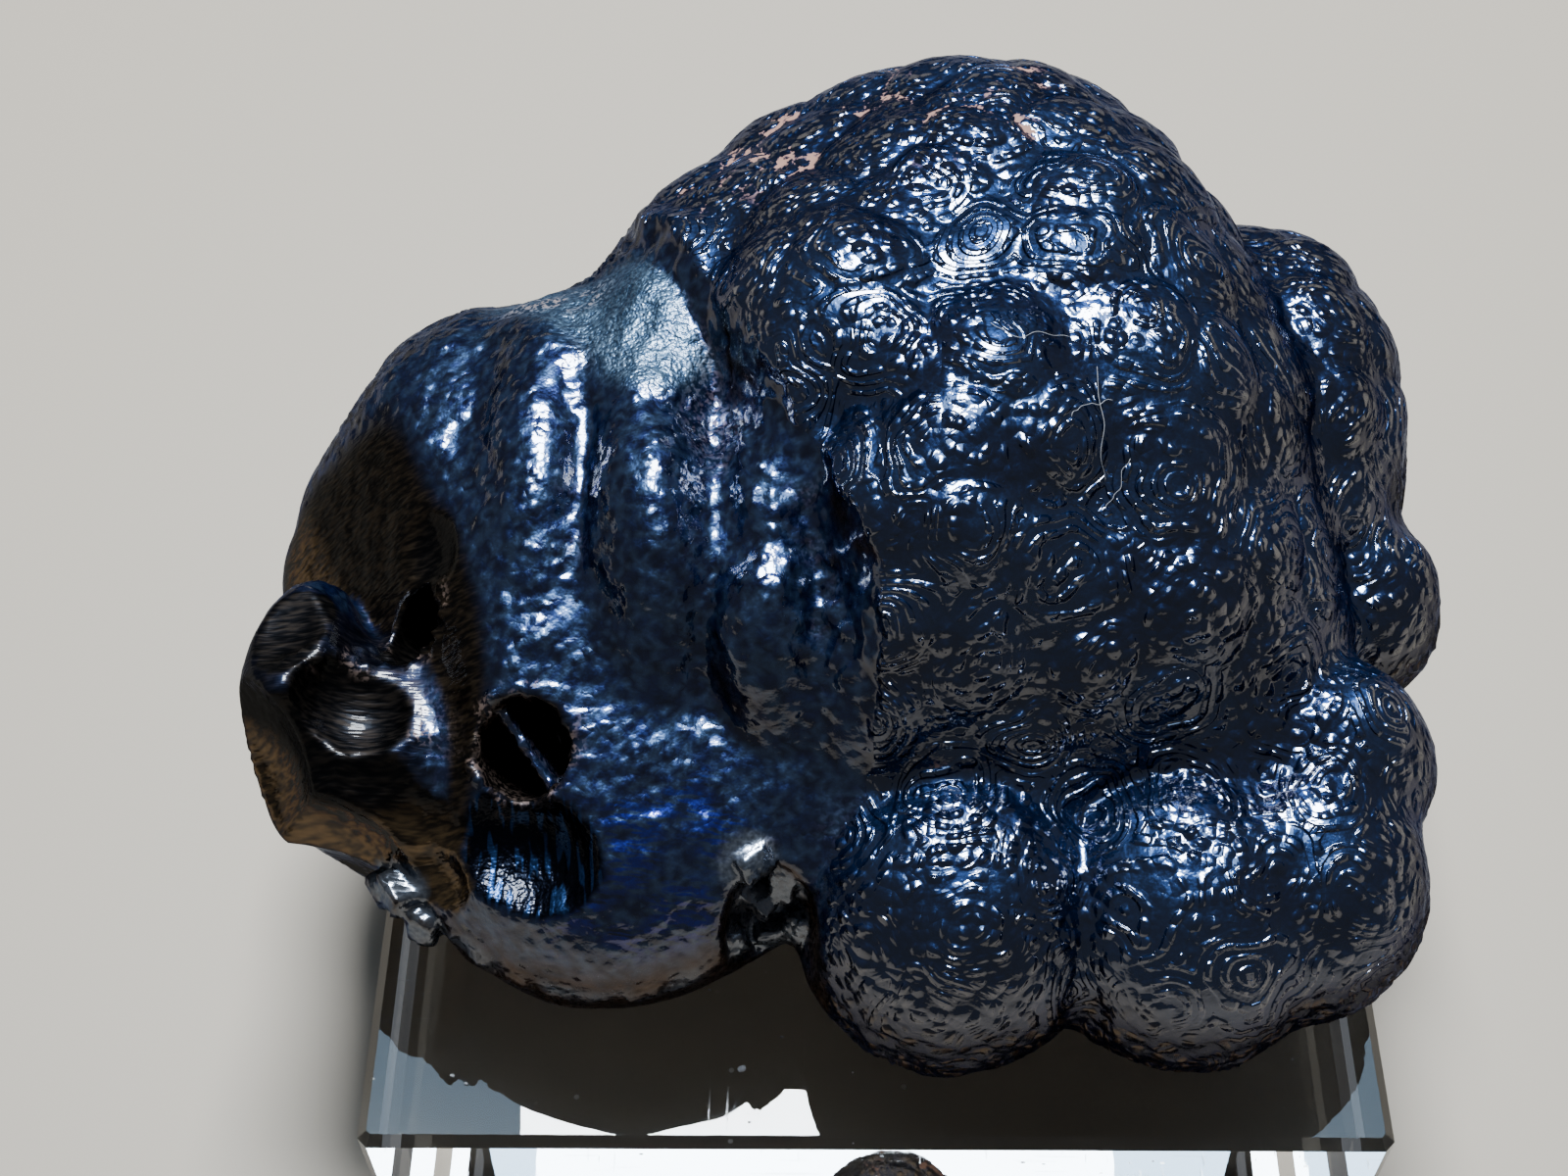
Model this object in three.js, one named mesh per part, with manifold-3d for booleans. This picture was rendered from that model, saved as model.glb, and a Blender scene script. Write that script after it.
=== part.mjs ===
// Botryoidal goethite resting on a square clear acrylic display block.
// Millimetres, +Z up. The stone is one grown piece; the block is the other.
import * as THREE from "three";
import { mergeVertices } from "three/addons/utils/BufferGeometryUtils.js";
import Module from "manifold-3d";

// ---- driving dimensions -------------------------------------------------
const BLOCK_SIDE = 100; // square block, side to side
const BLOCK_THICK = 25; // block height
const BLOCK_BEVEL = 1.0; // polished chamfer on every edge of the block
const REST_GAP = 0.3; // clearance between the stone's resting patches and the block
const BASE_BLEND = 2.0; // how softly the lobes flatten where the stone rests
const STONE_DETAIL = 19; // subdivision of the stone's surface
const SETTLE_ROUNDS = 40; // rounds of evening out the stone's surface points
const STONE_HEART = [-3, 50, 22]; // point that the whole outer surface can be seen from
const MARCH_START = 95; // farther from the heart than any part of the surface

// Everything about the stone is given in the block's frame: x from the middle
// of the block, y back from its front edge, z up from its top face.
// Lobe: centre x y z, radii x y z, blend into the lobes before it.
const LOBES = [
  // the mass that the lobes grew on
  [-13, 52, 18, 42, 38, 17, 4],
  // high dome on the right: broad swellings
  [9.2, 47, 25, 23, 20, 25.5, 6],
  [14.9, 60, 30, 22, 22, 26, 8],
  [-0.4, 68, 32, 20, 20, 24, 8],
  [11.9, 84.5, 33, 21, 22.5, 22, 8],
  [21.7, 73, 31, 18, 21, 24, 8],
  [27.5, 58, 23, 19, 22, 26, 8],
  [30, 43, 16, 18, 16, 23, 7],
  [-9.1, 78, 27, 21, 20.5, 21, 6],
  [11.5, 40, 22, 30, 16.5, 20, 7],
  [0, 88, 28, 18.5, 19, 20, 8],
  // smaller domes that crown it
  [9, 78.5, 43.3, 12.5, 12.5, 12.5, 4],
  [-2.3, 61.5, 45, 12, 12, 12, 3.5],
  [18.6, 69, 44.5, 12, 12, 12, 4],
  [9.6, 51, 45, 12, 11.5, 12, 4],
  [5.7, 42, 41, 12, 11.5, 12, 4],
  [23.2, 55, 42, 12, 13, 12, 3],
  [24.9, 42, 33.5, 13, 12, 12.5, 4],
  [1.1, 36, 32, 10, 11, 12, 4],
  // lower body on the left with its long upright lobes
  [-34.3, 50, 18, 27.5, 34, 21.5, 5],
  [-25.5, 27.5, 14.5, 20, 19, 15.5, 5],
  [-20.3, 51, 28, 9.5, 22, 19.5, 3],
  [-20, 68, 31, 12, 20, 17.5, 5],
  [-9.5, 48, 29, 9.5, 16, 20, 4],
  [-32.3, 56, 25.5, 9, 23, 18.7, 2],
  [-44.1, 59, 23, 11.2, 17.6, 15.6, 2],
  [-39.5, 65, 22, 15, 18, 17.5, 3],
  [-28.5, 66, 26, 12, 17, 17, 4],
  [-9.2, 37.5, 27, 8, 12, 18.5, 1.5],
  // back
  [-28.6, 72, 14, 22, 16, 13, 4],
  [2, 92, 15, 24, 15, 15, 4],
  [32.8, 84, 15, 20, 15, 15, 4],
  [-10, 96, 22, 10.5, 10, 11, 1.6],
  [7, 101.5, 25, 11, 10, 11, 1.8],
  [26, 97, 24, 11, 10.5, 11, 1.6],
  [5, 103, 10.5, 11.5, 9.5, 10, 1.4],
  [-26, 82.5, 19, 11, 10, 11, 1.6],
  [-42, 74, 16, 10.5, 10, 10.5, 1.6],
  [-47.5, 59, 13, 9, 10, 10, 1.6],
  [41, 90, 15, 11, 9.5, 10.5, 1.6],
  // right flank
  [38.5, 76, 20, 14, 20, 19, 4],
  [43.1, 71, 21, 13.2, 23.4, 20.5, 2],
  [49.2, 50.5, 18, 8.8, 9.6, 11, 2],
  // front row of low round lobes
  [7.2, 17.3, 15, 15.2, 15.4, 15.2, 1.8],
  [14.3, 28, 22, 8, 8, 9, 1.5],
  [29.1, 17.3, 14.6, 14.5, 14.8, 14.8, 1.6],
  [40.3, 20.5, 15.2, 12.2, 13.6, 13.6, 2],
  [43.7, 30.5, 19, 10.2, 10.4, 12, 2],
  [32.2, 32, 20, 12, 10, 12, 2],
];
// Broken wall on the left: a point on it, its outward direction, edge blend.
const WALL = { point: [-39.3, 44.0, 38.6], out: [-0.7, -0.33, 0.63], blend: 3 };
// Lobes at the far left tip, outside the broken wall.
const TIP = [
  [-51.2, 34.5, 24.5, 9.0, 13.5, 12.5, 1.5],
  [-45.8, 29, 17, 9.5, 11.5, 12, 3],
];
// Shallow conchoidal hollows: centre, radii, long direction, edge blend.
const HOLLOWS = [
  { at: [-34.2, 11.4, 33.2], radii: [9.5, 7.0, 8.5], along: [-0.2, -0.6, 0.77], blend: 0.6 },
];
// Open tubes into the stone: mouth centre, half width, half height, depth, inward direction.
const TUBES = [
  { mouth: [-45.0, 37.4, 33.6], wide: 2.9, tall: 4.2, deep: 13, inward: [0.35, 0.47, -0.71] },
  { mouth: [-32.6, 24.0, 32.2], wide: 4.5, tall: 4.9, deep: 13, inward: [0.12, 0.58, -0.8] },
  { mouth: [-48.3, 28.4, 33.9], wide: 5.0, tall: 4.2, deep: 7.5, inward: [0.25, 0.55, -0.8] },
];

// ---- the stone's shape as a distance function ---------------------------
// Distance to an ellipsoid, in a frame given by three unit axes.
function ellipsoid(p, c, r, axes) {
  let x = p[0] - c[0],
    y = p[1] - c[1],
    z = p[2] - c[2];
  if (axes) {
    const [a, b, d] = axes;
    [x, y, z] = [
      x * a.x + y * a.y + z * a.z,
      x * b.x + y * b.y + z * b.z,
      x * d.x + y * d.y + z * d.z,
    ];
  }
  const k0 = Math.hypot(x / r[0], y / r[1], z / r[2]);
  const k1 = Math.hypot(x / (r[0] * r[0]), y / (r[1] * r[1]), z / (r[2] * r[2]));
  return (k0 * (k0 - 1)) / Math.max(k1, 1e-6);
}
// Smooth union and smooth intersection.
function blendMin(a, b, k) {
  const h = Math.min(1, Math.max(0, 0.5 + (0.5 * (b - a)) / k));
  return b * (1 - h) + a * h - k * h * (1 - h);
}
const blendMax = (a, b, k) => -blendMin(-a, -b, k);
function axesAlong(direction) {
  const d = new THREE.Vector3(...direction).normalize();
  const u = Math.abs(d.z) < 0.98 ? new THREE.Vector3(0, 0, 1) : new THREE.Vector3(0, 1, 0);
  const x = new THREE.Vector3().crossVectors(u, d).normalize();
  return [x, new THREE.Vector3().crossVectors(d, x), d];
}
const wallOut = new THREE.Vector3(...WALL.out).normalize();
const hollowAxes = HOLLOWS.map((h) => axesAlong(h.along));

function stoneDistance(p) {
  let d = Infinity;
  for (const [cx, cy, cz, rx, ry, rz, k] of LOBES) {
    const e = ellipsoid(p, [cx, cy, cz], [rx, ry, rz]);
    d = d === Infinity ? e : blendMin(d, e, k);
  }
  const side =
    (p[0] - WALL.point[0]) * wallOut.x +
    (p[1] - WALL.point[1]) * wallOut.y +
    (p[2] - WALL.point[2]) * wallOut.z;
  d = blendMax(d, side, WALL.blend);
  for (const [cx, cy, cz, rx, ry, rz, k] of TIP)
    d = blendMin(d, ellipsoid(p, [cx, cy, cz], [rx, ry, rz]), k);
  HOLLOWS.forEach((h, i) => {
    d = blendMax(d, -ellipsoid(p, h.at, h.radii, hollowAxes[i]), h.blend);
  });
  return blendMax(d, REST_GAP - p[2], BASE_BLEND);
}

// ---- meshes -------------------------------------------------------------
function bare(geometry) {
  const g = geometry.clone();
  g.deleteAttribute("normal");
  g.deleteAttribute("uv");
  return mergeVertices(g, 1e-4);
}

// A finely divided ball whose every vertex is drawn in along its own ray until
// it meets the lobed surface.
function stoneGeometry() {
  const ball = bare(new THREE.IcosahedronGeometry(1, STONE_DETAIL));
  const v = ball.attributes.position;
  const dir = new THREE.Vector3();
  for (let i = 0; i < v.count; i++) {
    dir.fromBufferAttribute(v, i).normalize();
    let r = MARCH_START;
    for (let step = 0; step < 400; step++) {
      const d = stoneDistance([
        STONE_HEART[0] + dir.x * r,
        STONE_HEART[1] + dir.y * r,
        STONE_HEART[2] + dir.z * r,
      ]);
      r -= d * 0.8;
      if (Math.abs(d) < 0.004) break;
    }
    v.setXYZ(
      i,
      STONE_HEART[0] + dir.x * r,
      STONE_HEART[1] + dir.y * r,
      STONE_HEART[2] + dir.z * r,
    );
  }
  settle(ball);
  return ball;
}

// Draws the surface points into the deep creases between lobes: each round
// moves every point toward the middle of its neighbours and back onto the surface.
function settle(g) {
  const v = g.attributes.position,
    index = g.index.array;
  const near = Array.from({ length: v.count }, () => new Set());
  for (let i = 0; i < index.length; i += 3)
    for (let j = 0; j < 3; j++) {
      near[index[i + j]].add(index[i + ((j + 1) % 3)]);
      near[index[i + j]].add(index[i + ((j + 2) % 3)]);
    }
  let at = Array.from({ length: v.count }, (_, i) => [v.getX(i), v.getY(i), v.getZ(i)]);
  const slope = (p) => {
    const e = 0.2;
    return [0, 1, 2].map((k) => {
      const a = [...p],
        b = [...p];
      a[k] += e;
      b[k] -= e;
      return (stoneDistance(a) - stoneDistance(b)) / (2 * e);
    });
  };
  for (let round = 0; round < SETTLE_ROUNDS; round++) {
    at = at.map((p, i) => {
      const mid = [0, 0, 0];
      for (const n of near[i]) for (let k = 0; k < 3; k++) mid[k] += at[n][k] / near[i].size;
      let q = p.map((x, k) => x + 0.5 * (mid[k] - x));
      const s = slope(q),
        size = Math.max(s[0] * s[0] + s[1] * s[1] + s[2] * s[2], 0.05);
      for (let pass = 0; pass < 2; pass++) {
        const d = Math.max(-3, Math.min(3, stoneDistance(q)));
        q = q.map((x, k) => x - (d * s[k]) / size);
      }
      return q;
    });
  }
  at.forEach((p, i) => v.setXYZ(i, ...p));
}

// A blunt tube cutter: a long ball that starts well outside the mouth.
function tubeGeometry(tube) {
  const g = bare(new THREE.SphereGeometry(1, 20, 14));
  const [x, y, z] = axesAlong(tube.inward);
  const turned = new THREE.Matrix4().makeBasis(x, y, z);
  g.scale(tube.wide, tube.tall, tube.deep);
  g.applyMatrix4(turned);
  g.translate(...tube.mouth);
  return g;
}

const wasm = await Module();
wasm.setup();
const solidOf = (g) =>
  new wasm.Manifold(
    new wasm.Mesh({
      numProp: 3,
      vertProperties: new Float32Array(g.attributes.position.array),
      triVerts: new Uint32Array(g.index.array),
    }),
  );
function geometryOf(solid) {
  const m = solid.getMesh();
  const g = new THREE.BufferGeometry();
  g.setAttribute("position", new THREE.BufferAttribute(m.vertProperties, 3));
  g.setIndex(new THREE.BufferAttribute(m.triVerts, 1));
  g.computeVertexNormals();
  return g;
}

let stoneSolid = solidOf(stoneGeometry());
for (const tube of TUBES) stoneSolid = stoneSolid.subtract(solidOf(tubeGeometry(tube)));
const stone = new THREE.Mesh(
  geometryOf(stoneSolid),
  new THREE.MeshStandardMaterial({ color: 0x0b1226, roughness: 0.22, metalness: 0.35 }),
);
stone.name = "goethite";

// Square block with chamfered upright corners and chamfered top and bottom edges.
function blockGeometry() {
  const h = BLOCK_SIDE / 2,
    c = BLOCK_BEVEL;
  const s = new THREE.Shape();
  s.moveTo(-h + c, -h);
  s.lineTo(h - c, -h);
  s.lineTo(h, -h + c);
  s.lineTo(h, h - c);
  s.lineTo(h - c, h);
  s.lineTo(-h + c, h);
  s.lineTo(-h, h - c);
  s.lineTo(-h, -h + c);
  s.closePath();
  const g = new THREE.ExtrudeGeometry(s, {
    depth: BLOCK_THICK - 2 * c,
    bevelEnabled: true,
    bevelThickness: c,
    bevelSize: c,
    bevelOffset: -c,
    bevelSegments: 1,
    curveSegments: 1,
  });
  g.translate(0, h, -BLOCK_THICK + c);
  return g;
}
const block = new THREE.Mesh(
  blockGeometry(),
  new THREE.MeshStandardMaterial({
    color: 0xe6eaea,
    roughness: 0.05,
    metalness: 0,
    transparent: true,
    opacity: 0.3,
  }),
);
block.name = "acrylic_block";

// The block stands on z = 0, with the middle of the whole outline over the origin.
const part = new THREE.Group();
part.add(block, stone);
const box = new THREE.Box3().setFromObject(part);
part.position.set(-(box.min.x + box.max.x) / 2, -(box.min.y + box.max.y) / 2, BLOCK_THICK);

export default part;
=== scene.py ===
import math

import bpy
import numpy as np
from mathutils import Matrix, Vector


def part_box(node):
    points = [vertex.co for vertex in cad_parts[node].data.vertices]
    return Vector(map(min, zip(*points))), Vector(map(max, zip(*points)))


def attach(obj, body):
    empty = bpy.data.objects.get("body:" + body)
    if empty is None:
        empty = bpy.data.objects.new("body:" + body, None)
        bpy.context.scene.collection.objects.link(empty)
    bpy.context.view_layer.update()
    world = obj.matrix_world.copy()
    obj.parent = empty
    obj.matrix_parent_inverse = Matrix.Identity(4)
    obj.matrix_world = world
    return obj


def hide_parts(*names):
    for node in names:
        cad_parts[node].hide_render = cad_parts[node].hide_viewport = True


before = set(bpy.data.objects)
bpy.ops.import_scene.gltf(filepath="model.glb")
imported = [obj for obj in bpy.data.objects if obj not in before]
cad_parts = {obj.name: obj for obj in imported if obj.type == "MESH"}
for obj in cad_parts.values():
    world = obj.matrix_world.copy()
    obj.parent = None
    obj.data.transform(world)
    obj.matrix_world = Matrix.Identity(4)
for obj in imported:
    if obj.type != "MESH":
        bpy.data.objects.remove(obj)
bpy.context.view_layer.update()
BLOCK_LO, BLOCK_HI = [np.array(p, float) * 1000 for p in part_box("acrylic_block")]
SHIFT = np.array([(BLOCK_LO[0] + BLOCK_HI[0]) / 2, BLOCK_LO[1], BLOCK_HI[2]])
F = np.float32

# ------------------------------------------------------------------ shape data
# centre x y z, radii x y z, blend into the lobes before it
LOBES = [
    (-13, 52, 18, 42, 38, 17, 4),
    (9.2, 47, 25, 23, 20, 25.5, 6),
    (14.9, 60, 30, 22, 22, 26, 8),
    (-0.4, 68, 32, 20, 20, 24, 8),
    (11.9, 84.5, 33, 21, 22.5, 22, 8),
    (21.7, 73, 31, 18, 21, 24, 8),
    (27.5, 58, 23, 19, 22, 26, 8),
    (30, 43, 16, 18, 16, 23, 7),
    (-9.1, 78, 27, 21, 20.5, 21, 6),
    (11.5, 40, 22, 30, 16.5, 20, 7),
    (0, 88, 28, 18.5, 19, 20, 8),
    (9, 78.5, 43.3, 12.5, 12.5, 12.5, 4),
    (-2.3, 61.5, 45, 12, 12, 12, 3.5),
    (18.6, 69, 44.5, 12, 12, 12, 4),
    (9.6, 51, 45, 12, 11.5, 12, 4),
    (5.7, 42, 41, 12, 11.5, 12, 4),
    (23.2, 55, 42, 12, 13, 12, 3),
    (24.9, 42, 33.5, 13, 12, 12.5, 4),
    (1.1, 36, 32, 10, 11, 12, 4),
    (-34.3, 50, 18, 27.5, 34, 21.5, 5),
    (-25.5, 27.5, 14.5, 20, 19, 15.5, 5),
    (-20.3, 51, 28, 9.5, 22, 19.5, 3),
    (-20, 68, 31, 12, 20, 17.5, 5),
    (-9.5, 48, 29, 9.5, 16, 20, 4),
    (-32.3, 56, 25.5, 9, 23, 18.7, 2),
    (-44.1, 59, 23, 11.2, 17.6, 15.6, 2),
    (-39.5, 65, 22, 15, 18, 17.5, 3),
    (-28.5, 66, 26, 12, 17, 17, 4),
    (-9.2, 37.5, 27, 8, 12, 18.5, 1.5),
    (-28.6, 72, 14, 22, 16, 13, 4),
    (2, 92, 15, 24, 15, 15, 4),
    (32.8, 84, 15, 20, 15, 15, 4),
    (-10, 96, 22, 10.5, 10, 11, 1.6),
    (7, 101.5, 25, 11, 10, 11, 1.8),
    (26, 97, 24, 11, 10.5, 11, 1.6),
    (5, 103, 10.5, 11.5, 9.5, 10, 1.4),
    (-26, 82.5, 19, 11, 10, 11, 1.6),
    (-42, 74, 16, 10.5, 10, 10.5, 1.6),
    (-47.5, 59, 13, 9, 10, 10, 1.6),
    (41, 90, 15, 11, 9.5, 10.5, 1.6),
    (38.5, 76, 20, 14, 20, 19, 4),
    (43.1, 71, 21, 13.2, 23.4, 20.5, 2),
    (49.2, 50.5, 18, 8.8, 9.6, 11, 2),
    (7.2, 17.3, 15, 15.2, 15.4, 15.2, 1.8),
    (14.3, 28, 22, 8, 8, 9, 1.5),
    (29.1, 17.3, 14.6, 14.5, 14.8, 14.8, 1.6),
    (40.3, 20.5, 15.2, 12.2, 13.6, 13.6, 2),
    (43.7, 30.5, 19, 10.2, 10.4, 12, 2),
    (32.2, 32, 20, 12, 10, 12, 2),
]
FRONT_LOBE = (7.2, 17.3, 15, 15.2, 15.4, 15.2)
WALL_POINT, WALL_OUT, WALL_BLEND = (-39.3, 44.0, 38.6), (-0.7, -0.33, 0.63), 3.0
TIP = [
    (-54.4, 33.5, 24.5, 6.4, 13.0, 11.3, 1.5),
    (-46.5, 29.5, 18, 9.5, 12.0, 13.6, 4),
]
HOLLOWS = [((-33.2, 13.6, 30.2), (9.2, 7.2, 8.5), (-0.2, -0.6, 0.77), 0.35)]
# small broken crystals grown on the stone: centre, half sizes, facing
CRYSTALS = [
    ((-12.2, 17.6, 24.0), (1.7, 1.5, 2.6), (0.5, -0.6, 0.5)),
    ((-8.2, 18.0, 20.0), (1.4, 1.9, 2.2), (-0.3, -0.8, 0.4)),
    ((-11.4, 16.8, 18.2), (1.3, 1.2, 2.4), (0.7, -0.5, -0.2)),
    ((-6.9, 16.2, 15.0), (1.2, 1.5, 2.0), (-0.5, -0.7, 0.3)),
    ((-10.2, 16.6, 13.6), (1.5, 1.0, 2.1), (0.2, -0.9, 0.1)),
    ((-13.6, 14.4, 15.4), (1.1, 1.4, 1.9), (0.6, -0.7, 0.3)),
    ((-44.4, 17.8, 17.8), (2.0, 1.4, 2.4), (-0.7, -0.5, 0.3)),
    ((-42.2, 16.2, 15.4), (1.5, 1.9, 2.3), (-0.4, -0.8, 0.2)),
    ((-46.2, 18.8, 16.6), (1.4, 1.7, 1.9), (-0.8, -0.5, -0.1)),
]
TUBES = [
    ((-45.0, 37.4, 33.6), 2.9, 4.3, 13, (0.35, 0.47, -0.71)),
    ((-32.6, 24.0, 32.2), 4.5, 4.9, 13, (0.12, 0.58, -0.8)),
]
# shell-shaped chips: point on the surface, facing, half width, depth
CHIPS = [
    ((-54.9, 35.5, 35.6), (-0.20, 0.22, 0.95), 7.5, 2.2),
    ((-48.8, 40.5, 33.6), (0.15, 0.25, 0.95), 5.2, 1.7),
    ((-47.9, 29.3, 33.0), (0.12, -0.42, 0.90), 5.8, 3.6),
    ((-50.5, 18.6, 15.5), (-0.40, -0.74, -0.54), 11.0, 3.4),
    ((-43.0, 13.6, 17.0), (-0.50, -0.84, 0.10), 6.0, 1.8),
    ((-53.5, 24.5, 30.2), (-0.15, -0.72, 0.68), 5.4, 1.3),
    ((-48.4, 22.3, 28.6), (0.28, -0.70, 0.65), 4.4, 1.2),
    ((-44.6, 20.6, 26.0), (0.20, -0.80, 0.56), 4.2, 1.3),
    ((-56.8, 27.5, 25.0), (-0.70, -0.60, 0.35), 6.0, 1.3),
    ((-50.5, 20.8, 20.5), (-0.25, -0.92, 0.20), 6.5, 1.5),
    ((-40.0, 16.8, 22.0), (-0.62, -0.62, 0.48), 3.4, 0.9),
]
REST_GAP = 0.3
# where the outer crust has broken away from the inner layer, seen from above
CRUST_EDGE = [
    (-42, 112), (-30, 94), (-26, 84), (-24.7, 78.6), (-21.5, 73.0), (-18.2, 66.9),
    (-15.4, 61.5), (-14.2, 56.8), (-10.6, 51.5), (-8.5, 46.7), (-6.2, 43.2),
    (-5.0, 40.1), (-3.4, 37.6), (-2.8, 35.9), (-1.8, 31.0), (-1.2, 27.0), (-0.8, 20.0), (-0.8, -20.0),
]


# ------------------------------------------------------------------ small maths
def ellipsoid(P, c, r, axes=None):
    q = P - np.array(c, F)
    if axes is not None:
        q = q @ axes.astype(F)
    r = np.array(r, F)
    a = q / r
    k0 = np.sqrt((a * a).sum(-1))
    b = a / r
    k1 = np.sqrt((b * b).sum(-1))
    return k0 * (k0 - 1) / np.maximum(k1, F(1e-6))


def blend_min(a, b, k):
    h = np.clip(0.5 + 0.5 * (b - a) / k, 0, 1)
    return b * (1 - h) + a * h - k * h * (1 - h)


def blend_max(a, b, k):
    return -blend_min(-a, -b, k)


def smooth(a, b, x):
    t = np.clip((x - a) / (b - a), 0, 1)
    return t * t * (3 - 2 * t)


def axes_along(d):
    d = np.array(d, float)
    d /= np.linalg.norm(d)
    u = np.array([0, 0, 1.0]) if abs(d[2]) < 0.98 else np.array([0, 1.0, 0])
    x = np.cross(u, d)
    x /= np.linalg.norm(x)
    return np.stack([x, np.cross(d, x), d], 1)


def hashed(i, j, k, seed):
    """A number from 0 to 1 for each lattice point."""
    n = (
        i.astype(np.uint32) * np.uint32(73856093)
        ^ j.astype(np.uint32) * np.uint32(19349663)
        ^ k.astype(np.uint32) * np.uint32(83492791)
        ^ np.uint32(seed * 2654435761 % 2**32)
    )
    n ^= n >> np.uint32(15)
    n *= np.uint32(2246822519)
    n ^= n >> np.uint32(13)
    n *= np.uint32(3266489917)
    n ^= n >> np.uint32(16)
    return n.astype(np.float32) / F(2**32)


def noise(P, size, seed=1):
    """Smooth value noise, about -1 to 1, with features of the given size."""
    q = P / F(size) + F(1000)
    i = np.floor(q).astype(np.int64)
    f = (q - i).astype(F)
    f = f * f * f * (f * (f * 6 - 15) + 10)
    out = np.zeros(len(P), F)
    for dx in (0, 1):
        for dy in (0, 1):
            for dz in (0, 1):
                w = (
                    (f[:, 0] if dx else 1 - f[:, 0])
                    * (f[:, 1] if dy else 1 - f[:, 1])
                    * (f[:, 2] if dz else 1 - f[:, 2])
                )
                out += w * hashed(i[:, 0] + dx, i[:, 1] + dy, i[:, 2] + dz, seed)
    return out * 2 - 1


def worley(P, size, seed=1, jitter=0.9):
    """Nearest and second nearest distance to scattered points, in units of size."""
    q = P / F(size) + F(1000)
    i = np.floor(q).astype(np.int64)
    f1 = np.full(len(P), 9, F)
    f2 = np.full(len(P), 9, F)
    for dx in (-1, 0, 1):
        for dy in (-1, 0, 1):
            for dz in (-1, 0, 1):
                c = i + np.array([dx, dy, dz])
                o = [hashed(c[:, 0], c[:, 1], c[:, 2], seed * 7 + s) for s in (1, 2, 3)]
                d = np.zeros(len(P), F)
                for a in range(3):
                    d += (c[:, a] + 0.5 + jitter * (o[a] - 0.5) - q[:, a]).astype(F) ** 2
                d = np.sqrt(d)
                f2 = np.minimum(f2, np.maximum(f1, d))
                f1 = np.minimum(f1, d)
    return f1, f2


def inner_side(P):
    """Distance from the crust's broken edge, seen from above: positive on the inner layer."""
    best = np.full(len(P), 1e9, F)
    sign = np.ones(len(P), F)
    E = np.array(CRUST_EDGE, float)
    for a, b in zip(E[:-1], E[1:]):
        ab = b - a
        t = np.clip(((P[:, :2] - a) @ ab) / (ab @ ab), 0, 1)
        near = a + t[:, None] * ab
        off = P[:, :2] - near
        d = np.hypot(off[:, 0], off[:, 1])
        cross = ab[0] * (P[:, 1] - a[1]) - ab[1] * (P[:, 0] - a[0])
        new = d < best - 1e-4
        best = np.where(new, d, best)
        sign = np.where(new, np.where(cross < 0, 1, -1), sign)
    return (best * sign).astype(F)


# ------------------------------------------------------------------ the stone's surface
HOLLOW_AXES = [axes_along(h[2]) for h in HOLLOWS]
TUBE_AXES = [axes_along(t[4]) for t in TUBES]
WALL_N = np.array(WALL_OUT) / np.linalg.norm(WALL_OUT)
FIN_POINT = (-32.6, 24.0, 32.2)
FIN_N = TUBE_AXES[1][:, 0] * 0.72 - TUBE_AXES[1][:, 1] * 0.69


def body_distance(P):
    d = None
    for L in LOBES:
        e = ellipsoid(P, L[:3], L[3:6])
        d = e if d is None else blend_min(d, e, F(L[6]))
    side = (P - np.array(WALL_POINT, F)) @ WALL_N.astype(F)
    d = blend_max(d, side, F(WALL_BLEND))
    for L in TIP:
        d = blend_min(d, ellipsoid(P, L[:3], L[3:6]), F(L[6]))
    return d


CHIP_BALLS = []
for point, facing, half, deep in CHIPS:
    n = np.array(facing) / np.linalg.norm(facing)
    radius = (half * half + deep * deep) / (2 * deep)
    CHIP_BALLS.append((np.array(point) + n * (radius - deep), radius))


def stone_distance(P):
    d = body_distance(P)
    for h, ax in zip(HOLLOWS, HOLLOW_AXES):
        d = blend_max(d, -ellipsoid(P, h[0], h[1], ax), F(h[3]))
    for centre, radius in CHIP_BALLS:
        ball = np.sqrt(((P - centre.astype(F)) ** 2).sum(-1)) - F(radius)
        d = blend_max(d, -ball, F(0.3))
    hole = None
    for (mouth, wide, tall, deep, inward), ax in zip(TUBES, TUBE_AXES):
        e = ellipsoid(P, mouth, (wide, tall, deep), ax)
        hole = e if hole is None else np.minimum(hole, e)
    # a thin wall left standing across the wider hole
    fin = np.abs((P - np.array(FIN_POINT, F)) @ FIN_N.astype(F)) - F(0.5)
    depth = (P - np.array(FIN_POINT, F)) @ np.array(TUBE_AXES[1][:, 2], F)
    hole = np.maximum(hole, -np.maximum(fin, F(2.0) - depth))
    d = blend_max(d, -hole, F(0.45))
    # the broken crust stands proud of the inner layer beside it
    m = inner_side(P) + 0.75 * noise(P, 4.5, 81) + 0.45 * noise(P, 1.9, 82)
    lower = np.clip((m + 2.3) / 2.5, 0, 1) * (1 - smooth(3.5, 13, m))
    keep = smooth(0.5, 2.5, ellipsoid(P, FRONT_LOBE[:3], FRONT_LOBE[3:]))
    lower = lower * keep * smooth(30, 43, P[:, 2])
    d = d + F(1.9) * lower.astype(F)
    # the open recess under the hanging lobe, and small blocky crystals in it
    d = blend_max(d, -ellipsoid(P, (-9.8, 10.5, 19.0), (4.4, 8.0, 8.5)), F(0.8))
    for centre, half, facing in CRYSTALS:
        q = (P - np.array(centre, F)) @ axes_along(facing).astype(F)
        q = np.abs(q) - np.array(half, F)
        out = np.linalg.norm(np.maximum(q, 0), axis=1) + np.minimum(q.max(1), 0)
        d = blend_min(d, out, F(0.15))
    return blend_max(d, F(REST_GAP) - P[:, 2], F(2.0))


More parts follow.
